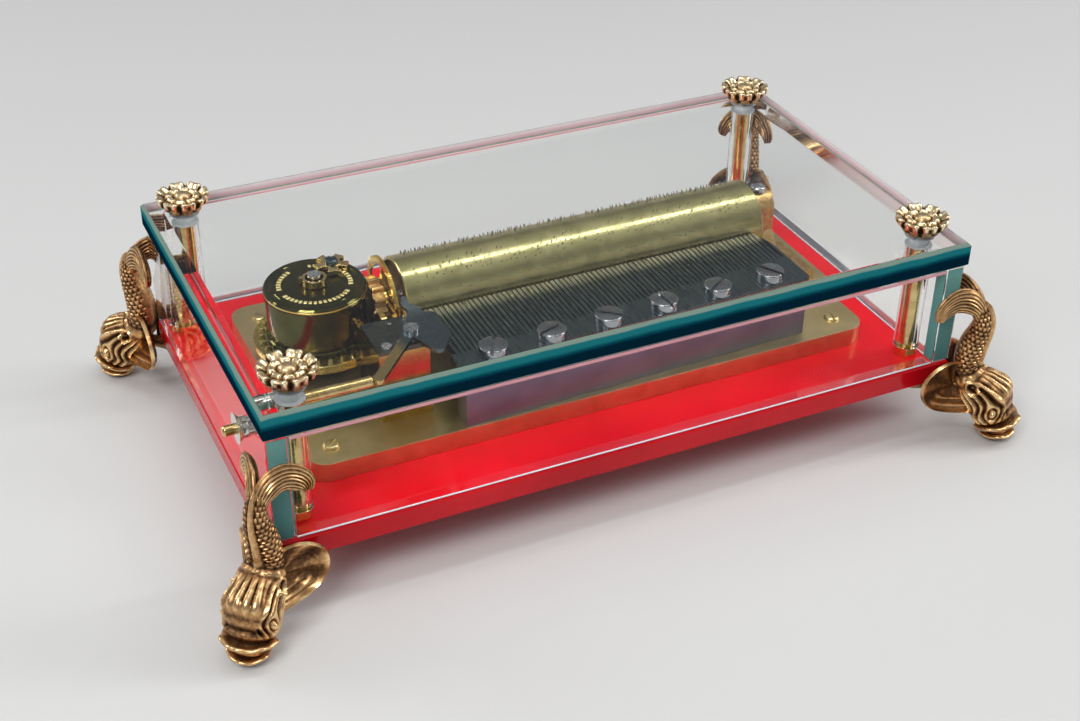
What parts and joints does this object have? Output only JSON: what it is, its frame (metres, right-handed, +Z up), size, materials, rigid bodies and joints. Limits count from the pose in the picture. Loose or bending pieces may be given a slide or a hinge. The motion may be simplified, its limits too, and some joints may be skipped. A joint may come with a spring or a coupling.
{
  "type": "crystal music box",
  "caption": "Glass-cased spring-driven music box: pinned cylinder, steel comb, spring barrel, governor and start rod on a red base with dolphin feet.",
  "frame": {"origin": "on the table, under the middle of the case", "axes": "+X along the cylinder to the treble end, +Y to the back, +Z up"},
  "size_m": [0.2582, 0.1648, 0.073],
  "materials": {
    "glass": "clear polished plate glass, green in its edges",
    "red_base": "glossy red plate",
    "brass": "polished",
    "clear_sleeve": "clear moulded",
    "gilt": "bright gilt",
    "antique_bronze": "antique gilt casting with dark recesses",
    "satin_brass": "satin",
    "steel": "turned",
    "grey_iron": "ground grey",
    "comb_steel": "hardened, ground",
    "polished_steel": "polished",
    "cylinder_brass": "polished",
    "dark_brass": "dark",
    "bronze": "cast and filed",
    "barrel_brass": "mirror polished",
    "spring_steel": "blue-grey tempered",
    "blued_steel": "blued",
    "polished_brass": "polished",
    "grey_steel": "ground",
    "nickel": "nickel plated"
  },
  "bodies": {
    "case": {"glass_top": "glass", "glass_front": "glass", "glass_back": "glass", "glass_left": "glass", "glass_right": "glass", "red_base": "red_base", "corner_rods": "brass", "rod_sleeves": "clear_sleeve", "post_nuts": "gilt", "rosette_washers": "clear_sleeve", "rosette_front_left": "antique_bronze", "rosette_front_right": "antique_bronze", "rosette_back_left": "antique_bronze", "rosette_back_right": "antique_bronze", "foot_front_left": "antique_bronze", "foot_front_right": "antique_bronze", "foot_back_left": "antique_bronze", "foot_back_right": "antique_bronze", "bedplate": "satin_brass", "bed_screws": "steel", "comb_base": "grey_iron", "comb": "comb_steel", "comb_screws": "polished_steel", "left_bearing": "brass", "right_bearing": "bronze", "bearing_screw": "polished_steel", "arbor_bush": "bronze", "click_screw": "steel", "governor_frame": "polished_brass", "governor_plate": "grey_steel", "governor_screws": "polished_steel", "start_bush": "nickel", "bush_nut": "nickel", "lever_screw": "polished_steel"},
    "cylinder": {"cylinder_tube": "cylinder_brass", "cylinder_pins": "steel", "cylinder_ends": "dark_brass", "cylinder_arbor": "steel", "drive_pinion": "bronze", "governor_wheel": "gilt"},
    "barrel": {"barrel_drum": "barrel_brass", "barrel_cover": "barrel_brass", "crown_wheel": "brass", "mainspring": "spring_steel", "star_screw": "blued_steel"},
    "star": {"star_wheel": "brass"},
    "winder": {"winding_arbor": "steel", "stop_finger": "brass", "ratchet_wheel": "steel", "winding_key": "brass"},
    "click": {"click": "steel"},
    "second": {"second_arbor": "steel", "worm_wheel": "brass"},
    "fly": {"fly_worm": "steel", "fly_wings": "brass"},
    "start": {"start_rod": "brass"},
    "lever": {"stop_lever": "blued_steel"}
  },
  "joints": [
    {"name": "cylinder_spin", "type": "hinge", "parent": "case", "child": "cylinder", "pos_m": [0, 0.0062, 0.0433], "axis": [1, 0, 0], "continuous": true},
    {"name": "barrel_spin", "type": "hinge", "parent": "case", "child": "barrel", "pos_m": [-0.0711, 0.0082, 0.04], "axis": [0, 0, 1], "continuous": true},
    {"name": "star_turn", "type": "hinge", "parent": "barrel", "child": "star", "pos_m": [-0.06367, 0.01489, 0.053], "axis": [0, 0, 1], "range_deg": [0, 288]},
    {"name": "key_wind", "type": "hinge", "parent": "case", "child": "winder", "pos_m": [-0.0711, 0.0082, 0.02], "axis": [0, 0, 1], "range_deg": [-1440, 0]},
    {"name": "click_rock", "type": "hinge", "parent": "case", "child": "click", "pos_m": [-0.08322, 0.0152, 0.0308], "axis": [0, 0, 1], "range_deg": [0, 12]},
    {"name": "second_spin", "type": "hinge", "parent": "case", "child": "second", "pos_m": [-0.057, -0.0082, 0.0433], "axis": [1, 0, 0], "continuous": true},
    {"name": "fly_spin", "type": "hinge", "parent": "case", "child": "fly", "pos_m": [-0.057, -0.01485, 0.04], "axis": [0, 0, 1], "continuous": true},
    {"name": "start_slide", "type": "slide", "parent": "case", "child": "start", "axis": [1, 0, 0], "range_m": [0, 0.0034]},
    {"name": "lever_turn", "type": "hinge", "parent": "case", "child": "lever", "pos_m": [-0.054, -0.0245, 0.05], "axis": [0, 0, 1], "range_deg": [0, 10.65]}
  ],
  "couplings": [
    {"joint": "barrel_spin", "follows": "cylinder_spin", "ratio": 0.4},
    {"joint": "second_spin", "follows": "cylinder_spin", "ratio": -8},
    {"joint": "fly_spin", "follows": "cylinder_spin", "ratio": -96},
    {"joint": "lever_turn", "follows": "start_slide", "rad_per_m": 54.6}
  ]
}
